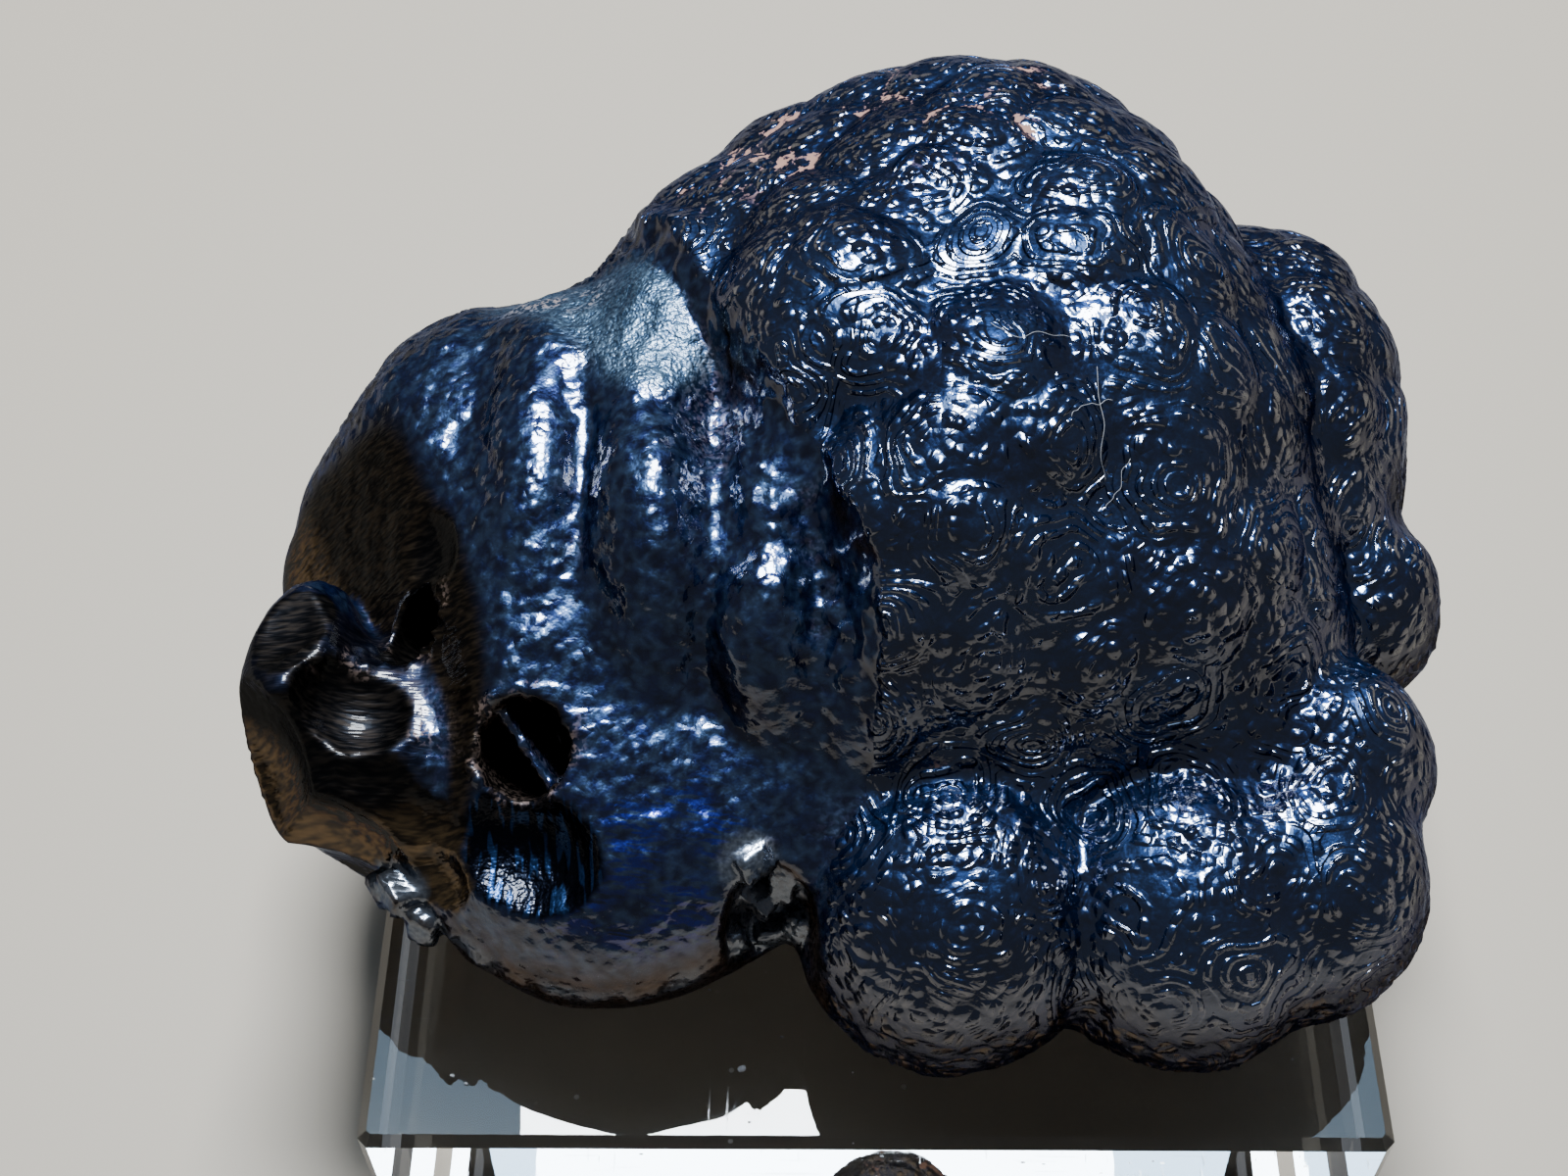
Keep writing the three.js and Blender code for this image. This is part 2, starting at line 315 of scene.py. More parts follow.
def slope(f, P, e=0.15):
    g = np.zeros_like(P)
    for k in range(3):
        a = P.copy()
        a[:, k] += F(e)
        b = P.copy()
        b[:, k] -= F(e)
        g[:, k] = (f(a) - f(b)) / F(2 * e)
    return g


def skin_over(f, lo, hi, step):
    """One closed quad mesh over the zero surface of f: a point per crossed cell."""
    n = [int(math.ceil((hi[k] - lo[k]) / step / 8)) * 8 + 1 for k in range(3)]
    ax = [F(lo[k]) + F(step) * np.arange(n[k], dtype=F) for k in range(3)]
    # coarse pass: where the surface can be
    c = [a[::8] for a in ax]
    C = np.stack(np.meshgrid(*c, indexing="ij"), -1).reshape(-1, 3)
    dc = f(C).reshape([len(a) for a in c])
    reach = F(step * 8 * 1.0)
    near = np.abs(dc) < reach
    V = np.where(dc > 0, F(9), F(-9))
    V = V.repeat(8, 0).repeat(8, 1).repeat(8, 2)[: n[0], : n[1], : n[2]].copy()
    wide = near.copy()
    for k in range(3):
        for s in (-1, 1):
            wide |= np.roll(near, s, k)
    mask = wide.repeat(8, 0).repeat(8, 1).repeat(8, 2)
    mask = np.roll(mask, (-4, -4, -4), (0, 1, 2))[: n[0], : n[1], : n[2]]
    idx = np.nonzero(mask)
    P = np.stack([ax[0][idx[0]], ax[1][idx[1]], ax[2][idx[2]]], -1)
    out = np.empty(len(P), F)
    for s in range(0, len(P), 400000):
        out[s : s + 400000] = f(P[s : s + 400000])
    V[idx] = out
    inside = V < 0
    # cells with a sign change
    def corner(A, i, j, k):
        return A[i : A.shape[0] - 1 + i, j : A.shape[1] - 1 + j, k : A.shape[2] - 1 + k]
    count = sum(corner(inside, i, j, k).astype(np.int8) for i in (0, 1) for j in (0, 1) for k in (0, 1))
    cells = np.nonzero((count > 0) & (count < 8))
    ids = np.full(count.shape, -1, np.int64)
    ids[cells] = np.arange(len(cells[0]))
    acc = np.zeros((len(cells[0]), 3), F)
    num = np.zeros(len(cells[0]), F)
    ci, cj, ck = cells
    for a in range(3):
        for u in (0, 1):
            for v in (0, 1):
                o0 = [0, 0, 0]
                others = [k for k in range(3) if k != a]
                o0[others[0]], o0[others[1]] = u, v
                o1 = list(o0)
                o1[a] = 1
                v0 = V[ci + o0[0], cj + o0[1], ck + o0[2]]
                v1 = V[ci + o1[0], cj + o1[1], ck + o1[2]]
                hit = (v0 < 0) != (v1 < 0)
                t = np.where(hit, v0 / np.where(hit, v0 - v1, 1), 0)
                p = np.zeros((len(ci), 3), F)
                p[:, others[0]], p[:, others[1]] = u, v
                p[:, a] = t
                acc += np.where(hit[:, None], p, 0)
                num += hit
    pts = np.stack([ci, cj, ck], -1) + acc / num[:, None]
    pts = np.array(lo, F) + pts.astype(F) * F(step)
    quads = []
    for a in range(3):
        b, c_ = (a + 1) % 3, (a + 2) % 3
        sl0 = [slice(1, -1)] * 3
        sl0[a] = slice(0, -1)
        sl1 = list(sl0)
        sl1[a] = slice(1, None)
        s0 = inside[tuple(sl0)]
        s1 = inside[tuple(sl1)]
        for flip, where in ((False, s0 & ~s1), (True, ~s0 & s1)):
            e = np.stack(np.nonzero(where), -1)
            e = e + np.array([0 if k == a else 1 for k in range(3)])
            q = []
            for db, dcc in ((-1, -1), (0, -1), (0, 0), (-1, 0)):
                o = e.copy()
                o[:, b] += db
                o[:, c_] += dcc
                q.append(ids[o[:, 0], o[:, 1], o[:, 2]])
            q = np.stack(q, -1)
            quads.append(q[:, ::-1] if flip else q)
    return pts, np.concatenate(quads)


def settle_on(f, P, rounds=2):
    for _ in range(rounds):
        s = slope(f, P)
        size = np.maximum((s * s).sum(1, keepdims=True), 0.2)
        d = np.clip(f(P), -0.5, 0.5)[:, None]
        P = P - d * s / size
    return P


STEP = 0.688
pts, quads = skin_over(stone_distance, (-66, -6, -3), (62, 118, 64), STEP)

# only the one connected body is kept
label = np.arange(len(pts))
for _ in range(400):
    low = label[quads].min(1)
    new = label.copy()
    for k in range(4):
        np.minimum.at(new, quads[:, k], low)
    new = new[new]
    if (new == label).all():
        break
    label = new
names, sizes = np.unique(label, return_counts=True)
keep = label == names[sizes.argmax()]
quads = quads[keep[quads[:, 0]]]
renumber = np.cumsum(keep) - 1
quads, pts = renumber[quads], pts[keep]

pts = settle_on(stone_distance, pts)
N = slope(stone_distance, pts, 0.3)
N /= np.maximum(np.linalg.norm(N, axis=1, keepdims=True), 1e-6)
print("stone:", len(pts), "points", len(quads), "quads")


# ------------------------------------------------------------------ relief on the stone
def near_line(P, line):
    """Distance to a polyline in space."""
    L = np.array(line, F)
    best = np.full(len(P), 1e9, F)
    for a, b in zip(L[:-1], L[1:]):
        ab = b - a
        t = np.clip(((P - a) @ ab) / (ab @ ab), 0, 1)
        best = np.minimum(best, np.linalg.norm(P - a - t[:, None] * ab, axis=1))
    return best


side = inner_side(pts) + 0.75 * noise(pts, 4.5, 81) + 0.45 * noise(pts, 1.9, 82)  # positive on the inner layer
front = ellipsoid(pts, FRONT_LOBE[:3], FRONT_LOBE[3:])
lower_face = smooth(0.42, 0.05, N[:, 2])
# each broken face: how much of it is bare fracture
wall = smooth(0.9, 0.2, np.abs((pts - np.array(WALL_POINT, F)) @ WALL_N.astype(F)))
wall = wall * smooth(-30, -36, pts[:, 0]) * smooth(0.75, 0.93, N @ WALL_N.astype(F))
chip = np.zeros(len(pts), F)
for centre, radius in CHIP_BALLS:
    chip = np.maximum(
        chip, smooth(0.35, 0.1, np.abs(np.linalg.norm(pts - centre.astype(F), axis=1) - radius))
        * smooth(0.5, 0.8, -((pts - centre.astype(F)) * N).sum(1) / radius),
    )
bowl = smooth(0.5, 0.15, np.abs(ellipsoid(pts, HOLLOWS[0][0], HOLLOWS[0][1], HOLLOW_AXES[0])))
bore = np.zeros(len(pts), F)
rim = np.full(len(pts), 9, F)
for (mouth, wide, tall, deep, inward), ax in zip(TUBES, TUBE_AXES):
    e = ellipsoid(pts, mouth, (wide, tall, deep), ax)
    bore = np.maximum(bore, smooth(0.6, 0.2, np.abs(e)) * smooth(-0.2, 1.5, (pts - np.array(mouth, F)) @ ax[:, 2].astype(F)))
    across = (pts - np.array(mouth, F)) @ ax.astype(F)
    ring = np.hypot(across[:, 0] / wide, across[:, 1] / tall)
    off = (ring - 1.12) * (wide + tall) / 2
    rim = np.minimum(rim, np.hypot(off, np.maximum(np.abs(across[:, 2]) - 2.5, 0)))
# what is left of the skin on the tip, between the chips and the holes, is nearly as dark
tip_skin = 0.8 * smooth(-40.5, -43.0, pts[:, 0]) * smooth(42, 39, pts[:, 1])
bare = np.clip(np.maximum.reduce([wall, chip, bore, tip_skin]), 0, 1)

# the grey satin band of fracture between the inner layer's crests and the crust's edge
band = smooth(7.5, 4.5, near_line(pts, [(-37, 78, 41), (-31, 74, 44), (-25, 68, 46), (-21, 62, 46.5)]))
band = band * smooth(0.0, 0.8, side)
stepped = smooth(0.5, 2.5, front) * smooth(30, 43, pts[:, 2])
shelf = smooth(-2.5, -2.1, side) * smooth(0.5, 0.0, side) * stepped
crust = smooth(0.15, -0.25, side + 2.3 * stepped)
crust = np.maximum(crust, smooth(0.5, 0.1, front) * smooth(-6, -3, pts[:, 0]))
crust = crust * (1 - bare)
inner = (1 - crust) * (1 - bare)

# where the growth domes of the crust sit: some as seen, the rest spread evenly
SEEN = [
    (10.3, 80.5, 55.4), (-1.0, 63.5, 56.8), (20.0, 72.5, 56.0), (10.8, 53.0, 56.6), (6.2, 43.0, 52.0),
    (24.2, 57.0, 53.6), (26.5, 44.5, 45.6), (31.0, 65.5, 51.0), (7.2, 21.5, 29.6), (28.8, 21.0, 28.6),
    (41.5, 22.5, 28.2), (13.5, 29.5, 30.5), (37.5, 33.0, 31.5), (46.0, 70.0, 41.0),
]
SPACING = 9.4
pick = []
gap = np.full(len(pts), 1e9, F)
crusty = crust > 0.5
for s in SEEN:
    i = int(np.argmin(np.linalg.norm(pts - np.array(s, F), axis=1)))
    pick.append(i)
    gap = np.minimum(gap, np.linalg.norm(pts - pts[i], axis=1))
while len(pick) < 260:
    # a little unevenness in the spacing, from a fixed hash of the place
    i = int(np.argmax(np.where(crusty, gap * (1 + 0.22 * hashed(*(np.floor(pts / 4).astype(np.int64).T), 5)), 0)))
    if gap[i] < SPACING * 0.82:
        break
    pick.append(i)
    gap = np.minimum(gap, np.linalg.norm(pts - pts[i], axis=1))
domes = pts[pick]
bend = np.stack([noise(pts, 7, 61 + k) for k in range(3)], 1) * 1.3
first = np.full(len(pts), 1e9, F)
second = np.full(len(pts), 1e9, F)
who = np.zeros(len(pts), np.int64)
for j, c in enumerate(domes):
    size = 0.8 + 0.4 * hashed(*[np.array([j])] * 3, 9)[0]
    dist = np.linalg.norm(pts + bend - c, axis=1) / F(size)
    closer = dist < first
    second = np.where(closer, first, np.minimum(second, dist))
    who = np.where(closer, j, who)
    first = np.where(closer, dist, first)
print("growth domes:", len(domes))

crease = smooth(1.9, 0.1, second - first)
seen_face = 1 - 0.55 * lower_face
swell = 0.80 * (1 - np.minimum(first / 5.8, 1) ** 2) - 0.16 * crease
# the two front lobes and the dome's low front slope are smoother
calm = smooth(1.0, 0.2, front) * smooth(-6, -3, pts[:, 0])
calm = np.maximum(calm, smooth(38, 26, pts[:, 2]) * smooth(44, 34, pts[:, 1]))
swell = swell * (1 - 0.75 * calm) * smooth(-0.1, 0.45, N[:, 2])
crease = crease * (1 - 0.8 * calm)
coarse1, coarse2 = worley(pts, 3.1, 3)
pebble1, pebble2 = worley(pts, 1.75, 11)
lift = crust * (
    swell * (0.45 + 0.55 * smooth(22, 34, pts[:, 2])) * seen_face
    + 0.20 * noise(pts, 3.3, 21)
    + 0.17 * (0.55 - pebble1)
)
# a coarse net of ridges with pits between them, low on the lobes
stretch = pts * np.array([0.62, 1.0, 1.35], F)
net1, net2 = worley(stretch, 2.3, 17)
lift += crust * lower_face * (0.34 * smooth(0.30, 0.02, net2 - net1) - 0.20 + 0.18 * noise(pts, 4.6, 23))
# low swellings and a honeycomb on the inner layer
bub1, bub2 = worley(pts, 2.6, 29)
fine1, fine2 = worley(pts, 1.7, 31)
near_edge = smooth(10, 3, side) * smooth(28, 38, pts[:, 2])
rough_part = (1 - shelf) * smooth(24, 31, pts[:, 2])
lift += inner * (1 - band) * (
    0.34 * noise(pts, 5.0, 41) * (1 - 0.7 * shelf)
    + rough_part * near_edge * 0.62 * (smooth(0.0, 0.55, bub2 - bub1) - 0.35)
    + rough_part * (1 - near_edge) * 0.20 * (smooth(0.26, 0.0, bub2 - bub1) - 0.2 + 0.5 * noise(pts, 2.4, 42))
    + 0.09 * (0.55 - fine1) * (1 - 0.8 * shelf)
)
# flat ripples low on the inner layer's front
ripple = smooth(34, 31, pts[:, 2]) * smooth(17, 22, pts[:, 2]) * smooth(-32, -28, pts[:, 0]) * smooth(-11, -14, pts[:, 0])
ripple = ripple * (1 - bowl) * smooth(-0.5, 0.3, noise(pts, 4.5, 44))
wave = pts[:, 2] / 1.45 + 1.5 * noise(pts * np.array([0.6, 0.6, 1], F), 3.4, 43)
lift += inner * ripple * 0.16 * np.sin(wave * 2 * math.pi)
# fibres and steps on the bare fractures
grain = noise(pts @ np.array([[0.25, 0.9, 0.1], [0.9, -0.2, 0.3], [0.3, 0.2, 1.0]], F), 1.6, 47)
lift += wall * 0.05 * grain + band * (0.22 * noise(pts, 2.2, 53) + 0.12 * noise(pts, 1.1, 54))
lift += bowl * 0.14 * noise(pts * np.array([1.6, 0.6, 0.6], F), 1.4, 57)
lift += chip * 0.07 * noise(pts, 2.4, 59)
# a necklace of small beads round each hole, and along the broken ridges
RIDGES = [
    [(-58.0, 29.5, 31.5), (-55.5, 31.5, 33.2), (-52.0, 33.5, 34.0), (-50.0, 35.0, 33.8)],
    [(-42.6, 31.0, 33.0), (-42.0, 27.5, 31.0), (-41.6, 23.0, 28.0), (-41.3, 19.0, 24.5)],
    [(-40.6, 14.6, 17.4), (-36.0, 11.6, 14.5), (-30.0, 10.0, 13.4), (-22.0, 8.9, 13.6), (-16.0, 9.6, 15.0)],
]
bead_band = smooth(1.5, 0.3, rim)
for line in RIDGES:
    bead_band = np.maximum(bead_band, smooth(1.7, 0.5, near_line(pts, line)))
bead1, bead2 = worley(pts, 1.35, 67)
lift += bead_band * 0.62 * smooth(0.62, 0.15, bead1)
lift *= smooth(0.8, 3.0, pts[:, 2])  # the flat it rests on stays flat
lift = np.clip(lift, -0.9, 1.1)
pts = pts + (N * lift[:, None]).astype(F)

# how deep a place lies between its neighbours: dust gathers there
hollowness = np.zeros(len(pts), F)
for reach in (1.5, 3.0, 5.0):
    hollowness += np.clip(1 - stone_distance(pts + N * F(reach)) / reach, 0, 1) * (0.6 if reach < 4 else 1.0)
dusty = smooth(0.25, 0.95, hollowness)
upper_back = smooth(66, 88, pts[:, 1]) * smooth(24, 2, pts[:, 0] - 4)
patchy = smooth(-0.2, 0.5, noise(pts, 9, 91) + 0.5 * noise(pts, 3, 92))
dust = np.clip((0.22 * dusty + 0.9 * upper_back * (0.35 + 0.65 * crease) * crust) * patchy, 0, 1)
dust = np.maximum(dust, 0.8 * smooth(4.6, 2.2, near_line(pts, [(-37, 75, 41), (-33, 74, 42.5), (-30, 73, 43.5)])) * (noise(pts, 1.8, 71) > -0.1))
dust = np.maximum(dust, 0.55 * bead_band * (noise(pts, 1.5, 73) > 0.35) * smooth(-20, -30, pts[:, 0]))

mesh = bpy.data.meshes.new("goethite_stone")
W = (pts + SHIFT.astype(F)) / F(1000)
mesh.from_pydata([], [], [])
mesh.vertices.add(len(W))
mesh.vertices.foreach_set("co", W.astype(F).ravel())
mesh.loops.add(len(quads) * 4)
mesh.loops.foreach_set("vertex_index", quads.astype(np.int32).ravel())
mesh.polygons.add(len(quads))
mesh.polygons.foreach_set("loop_start", np.arange(0, len(quads) * 4, 4, dtype=np.int32))
mesh.update(calc_edges=True)
mesh.validate()
mesh.shade_smooth()


def attribute(name, values):
    values = np.ascontiguousarray(values, F)
    kind = "FLOAT_VECTOR" if values.ndim == 2 else "FLOAT"
    a = mesh.attributes.new(name, kind, "POINT")
    a.data.foreach_set("vector" if values.ndim == 2 else "value", values.ravel())


attribute("drift", np.stack([0.36 * noise(pts, 3.0, 101 + k) for k in range(3)], 1))
attribute("broad", 0.5 + 0.36 * noise(pts, 5.8, 105))
attribute("ring", first)
attribute("crust", crust)
attribute("bare", bare)
# painted reflection: a pale grey-white strip along the bottom rim of the inner layer's front stands in for light
# glinting off the broken rim; the same mask is also paler round the small crystals
rim_glint_and_crystal_pale = smooth(2.4, 0.8, near_line(pts, RIDGES[2])) * smooth(-0.4, 0.5, noise(pts, 3.0, 95))
for centre, half, facing in CRYSTALS:
    rim_glint_and_crystal_pale = np.maximum(rim_glint_and_crystal_pale, smooth(max(half) + 0.9, max(half) + 0.2, np.linalg.norm(pts - np.array(centre, F), axis=1)))
attribute("rim_glint_and_crystal_pale", rim_glint_and_crystal_pale)
attribute("shelf", shelf)
attribute("gold", np.maximum(smooth(27.0, 23.0, pts[:, 2]) * (1 - bore), 0.15 * wall))
attribute("band", band)
attribute("bowl", bowl)
# low: faces turned down or to the side; both skins also use it for a painted reflection of a brown floor
attribute("low", lower_face)
attribute("dust", dust)
attribute("crease", crease)
# painted highlight: a mask of the honeycomb lines and the bead tops, lightened in the inner colour
attribute("edge", np.clip(np.maximum(smooth(0.22, 0.02, fine2 - fine1) * inner * (1 - band), bead_band * smooth(0.5, 0.1, bead1)), 0, 1))
attribute("ripple", ripple * inner)
on_crust = crust[quads].mean(1) > 0.5
mesh.polygons.foreach_set("material_index", np.where(on_crust, 0, 1).astype(np.int32))
stone = bpy.data.objects.new("goethite_stone", mesh)
bpy.context.scene.collection.objects.link(stone)
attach(stone, "root")
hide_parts("goethite")

# ------------------------------------------------------------------ lint and dust
LINT = [
    [(20.0, 51.1, 54.4), (19.5, 48.4, 53.6), (20.1, 46.0, 52.1), (19.7, 43.8, 50.7), (20.5, 41.9, 48.6)],
    [(10.0, 52.6, 57.1), (12.2, 51.1, 56.9), (14.4, 53.0, 56.5), (17.4, 53.3, 55.5)],
    [(16.5, 45.5, 53.7), (18.5, 47.0, 53.4), (20.9, 48.0, 53.0)],
    [(22.3, 43.7, 49.7), (21.6, 41.8, 48.2), (20.3, 39.9, 47.4)],
]
lint_points, lint_faces = [], []
for line in LINT:
    L = np.array(line)
    along = np.linspace(0, len(L) - 1, 26)
    path = np.stack([np.interp(along, np.arange(len(L)), L[:, k]) for k in range(3)], 1)
    lie = []
    for p in path:
        i = int(np.argmin(((pts - p) ** 2).sum(1)))
        lie.append(pts[i] + N[i] * 0.16)
    lie = np.array(lie)
    for _ in range(4):
        lie[1:-1] = (lie[:-2] + 2 * lie[1:-1] + lie[2:]) / 4
    base = len(lint_points)
    for j, p in enumerate(lie):
        t = lie[min(j + 1, len(lie) - 1)] - lie[max(j - 1, 0)]
        t = t / max(np.linalg.norm(t), 1e-6)
        u = np.cross(t, (0.3, 0.2, 0.93))
        u /= np.linalg.norm(u)
        v = np.cross(t, u)
        for s in range(6):
            w = s * math.pi / 3
            lint_points.append(p + 0.022 * (u * math.cos(w) + v * math.sin(w)))
    for j in range(len(lie) - 1):
        for s in range(6):
            a0, b0 = base + j * 6 + s, base + j * 6 + (s + 1) % 6
            lint_faces.append((a0, b0, b0 + 6, a0 + 6))
    lint_faces.append(tuple(base + s for s in range(5, -1, -1)))
    lint_faces.append(tuple(base + (len(lie) - 1) * 6 + s for s in range(6)))

rng = np.random.default_rng(7)
SPECKS = [(-12.87, 7.77, 0.42), (-41.2, 7.0, 0.22), (-39.8, 6.2, 0.18)]
for _ in range(26):
    SPECKS.append((rng.uniform(-46, 46), rng.uniform(2, 98), rng.uniform(0.06, 0.16)))
gold_ratio = (1 + 5**0.5) / 2
ICO = np.array(
    [(s * 1, t * gold_ratio, 0) for s in (-1, 1) for t in (-1, 1)]
    + [(0, s * 1, t * gold_ratio) for s in (-1, 1) for t in (-1, 1)]
    + [(t * gold_ratio, 0, s * 1) for s in (-1, 1) for t in (-1, 1)]
) / math.hypot(1, gold_ratio)
speck_points, speck_faces = [], []
for x, y, size in SPECKS:
    base = len(speck_points)
    blob = ICO * (1 + rng.uniform(-0.25, 0.25, (12, 1))) * np.array([1.2, 0.9, 0.7]) * size
    blob = blob + np.array([x, y, 0.02 - blob[:, 2].min()])
    speck_points += list(blob)
    for i in range(12):
        for j in range(i + 1, 12):
            for k in range(j + 1, 12):
                A, B, D = ICO[i], ICO[j], ICO[k]
                if max(np.linalg.norm(A - B), np.linalg.norm(B - D), np.linalg.norm(A - D)) < 1.1:
                    face = (base + i, base + j, base + k)
                    outwards = np.dot(np.cross(B - A, D - A), A + B + D) > 0
                    speck_faces.append(face if outwards else face[::-1])


def small_piece(name, points, faces, smooth_shade):
    me = bpy.data.meshes.new(name)
    me.from_pydata([tuple((np.array(p) + SHIFT) / 1000) for p in points], [], faces)
    me.update()
    if smooth_shade:
        me.shade_smooth()
    o = bpy.data.objects.new(name, me)
    bpy.context.scene.collection.objects.link(o)
    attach(o, "root")
    return me


lint_mesh = small_piece("lint_fibres", lint_points, lint_faces, True)
speck_mesh = small_piece("dust_specks", speck_points, speck_faces, False)


# ------------------------------------------------------------------ materials
def material(name):
    m = bpy.data.materials.new(name)
    m.use_nodes = True
    return m, m.node_tree, m.node_tree.nodes["Principled BSDF"]


class Maker:
    """Short names for the shader nodes used below."""

    def __init__(self, nt):
        self.nt = nt

    def put(self, kind, **props):
        n = self.nt.nodes.new(kind)
        for k, v in props.items():
            setattr(n, k, v)
        return n

    def feed(self, socket, value):
        if isinstance(value, bpy.types.NodeSocket):
            self.nt.links.new(value, socket)
        elif isinstance(value, (tuple, list)) and len(value) == 3 and socket.type == "RGBA":
            socket.default_value = (*value, 1)
        else:
            socket.default_value = value

    def math(self, op, a, b=0.0, c=0.0, clamp=False):
        n = self.put("ShaderNodeMath", operation=op, use_clamp=clamp)
        for s, v in zip(n.inputs, (a, b, c)):
            self.feed(s, v)
        return n.outputs[0]

    def add(self, a, b):
        return self.math("ADD", a, b)

    def sub(self, a, b):
        return self.math("SUBTRACT", a, b)

    def mul(self, a, b):
        return self.math("MULTIPLY", a, b)

    def ramp(self, x, lo, hi, out_lo=0.0, out_hi=1.0):
        n = self.put("ShaderNodeMapRange", interpolation_type="SMOOTHSTEP")
        for s, v in zip(n.inputs, (x, lo, hi, out_lo, out_hi)):
            self.feed(s, v)
        return n.outputs[0]

    def mix(self, f, a, b):
        n = self.put("ShaderNodeMix", data_type="FLOAT")
        self.feed(n.inputs[0], f)
        self.feed(n.inputs[2], a)
        self.feed(n.inputs[3], b)
        return n.outputs[0]

    def tint(self, f, a, b, blend="MIX"):
        n = self.put("ShaderNodeMix", data_type="RGBA", blend_type=blend)
        self.feed(n.inputs[0], f)
        self.feed(n.inputs[6], a)
        self.feed(n.inputs[7], b)
        return n.outputs[2]

    def attr(self, name):
        return self.put("ShaderNodeAttribute", attribute_name=name).outputs

    def scaled(self, v, s):
        n = self.put("ShaderNodeVectorMath", operation="MULTIPLY")
        self.feed(n.inputs[0], v)
        n.inputs[1].default_value = s if isinstance(s, tuple) else (s, s, s)
        return n.outputs[0]

    def vadd(self, a, b):
        n = self.put("ShaderNodeVectorMath", operation="ADD")
        self.feed(n.inputs[0], a)
        self.feed(n.inputs[1], b)
        return n.outputs[0]

    def noise(self, v, scale, detail=2.0, rough=0.5, colour=False):
        n = self.put("ShaderNodeTexNoise")
        self.feed(n.inputs["Vector"], v)
        n.inputs["Scale"].default_value = scale
        n.inputs["Detail"].default_value = detail
        n.inputs["Roughness"].default_value = rough
        return n.outputs["Color" if colour else "Fac"]

    def cells(self, v, scale, feature="F1", random=1.0, soft=None):
        n = self.put("ShaderNodeTexVoronoi", feature=feature)
        self.feed(n.inputs["Vector"], v)
        n.inputs["Scale"].default_value = scale
        n.inputs["Randomness"].default_value = random
        if soft is not None:
            n.inputs["Smoothness"].default_value = soft
        return n.outputs["Distance"]

    def bump(self, height, distance=0.001, strength=1.0, normal=None):
        n = self.put("ShaderNodeBump")
        n.inputs["Strength"].default_value = strength
        n.inputs["Distance"].default_value = distance
        self.feed(n.inputs["Height"], height)
        if normal is not None:
            self.feed(n.inputs["Normal"], normal)
        return n.outputs[0]


# heights below are in millimetres
mat, nt, bsdf = material("goethite_skin")
m = Maker(nt)
place = m.scaled(m.put("ShaderNodeTexCoord").outputs["Object"], 1000.0)
crust_a, low_a, dust_a, crease_a = (m.attr(k)[2] for k in ("crust", "low", "dust", "crease"))
ring_a = m.attr("ring")[2]

drift = m.attr("drift")[1]
swayed = m.vadd(place, m.scaled(drift, 1.1))
parts = m.put("ShaderNodeSeparateXYZ")
m.feed(parts.inputs[0], m.vadd(drift, (0.5, 0.5, 0.5)))
# rows that run round each growth dome, broken and bent by the drift
phase = m.add(m.mul(ring_a, 2 * math.pi / 1.50), m.mul(m.add(parts.outputs[0], m.mul(parts.outputs[2], 0.5)), 17.0))
worms = m.math("SINE", phase)
beads = m.ramp(m.cells(swayed, 0.68, "F1", 0.80), 0.80, 0.06)
broad = m.attr("broad")[2]
choose = m.ramp(broad, 0.52, 0.68, 0.0, 0.85)
rows = m.mix(choose, m.mul(beads, m.ramp(worms, -0.9, 0.6, 0.40, 1.0)), m.mul(m.ramp(worms, -0.35, 0.75), m.ramp(beads, 0.0, 0.5, 0.30, 1.0)))
grit = m.noise(place, 2.2, 1.0, 0.6)
quiet = m.sub(1.0, m.add(m.mul(low_a, 0.35), m.mul(crease_a, 0.45)))
crust_h = m.add(m.mul(m.mul(rows, quiet), 0.35), m.mul(grit, 0.03))

# dust lies between the beads, broken up by the grit
speck = m.mul(m.sub(m.add(grit, parts.outputs[1]), 1.0), 0.8)
dusted = m.ramp(m.sub(m.add(m.mul(dust_a, 0.62), speck), m.mul(rows, 1.5)), 0.18, 0.34)
dusted = m.mul(dusted, m.ramp(dust_a, 0.05, 0.3))
crust_c = m.tint(m.ramp(broad, 0.35, 0.65), (0.0026, 0.0088, 0.034), (0.0060, 0.0180, 0.058))
# painted reflection: faces turned down are tinted brown on the raised rows and darker between them, standing in for
# a brown floor reflected in the skin
crust_c = m.tint(m.mul(low_a, 0.85), crust_c, m.tint(m.ramp(rows, 0.1, 0.8), (0.004, 0.005, 0.020), (0.090, 0.058, 0.026)))
crust_c = m.tint(dusted, crust_c, (0.20, 0.105, 0.07))
m.feed(bsdf.inputs["Base Color"], crust_c)
m.feed(bsdf.inputs["Metallic"], m.mul(m.sub(1.0, dusted), 0.90))
m.feed(bsdf.inputs["Roughness"], m.mix(dusted, m.ramp(grit, 0.3, 0.7, 0.24, 0.36), 0.85))
# the polish fades where the skin turns away, which keeps the flanks dark
turned = m.ramp(m.put("ShaderNodeLayerWeight").outputs["Facing"], 0.22, 0.78, 1.0, 0.10)
m.feed(bsdf.inputs["Coat Weight"], m.mul(m.mul(m.sub(1.0, dusted), turned), m.sub(1.0, m.mul(low_a, 0.6))))
bsdf.inputs["Coat Roughness"].default_value = 0.06
bsdf.inputs["Coat IOR"].default_value = 1.85
bsdf.inputs["IOR"].default_value = 1.9
bsdf.inputs["Specular Tint"].default_value = (0.16, 0.22, 0.38, 1)
relief = m.bump(crust_h)
m.feed(bsdf.inputs["Normal"], relief)
m.feed(bsdf.inputs["Coat Normal"], relief)
mesh.materials.append(mat)

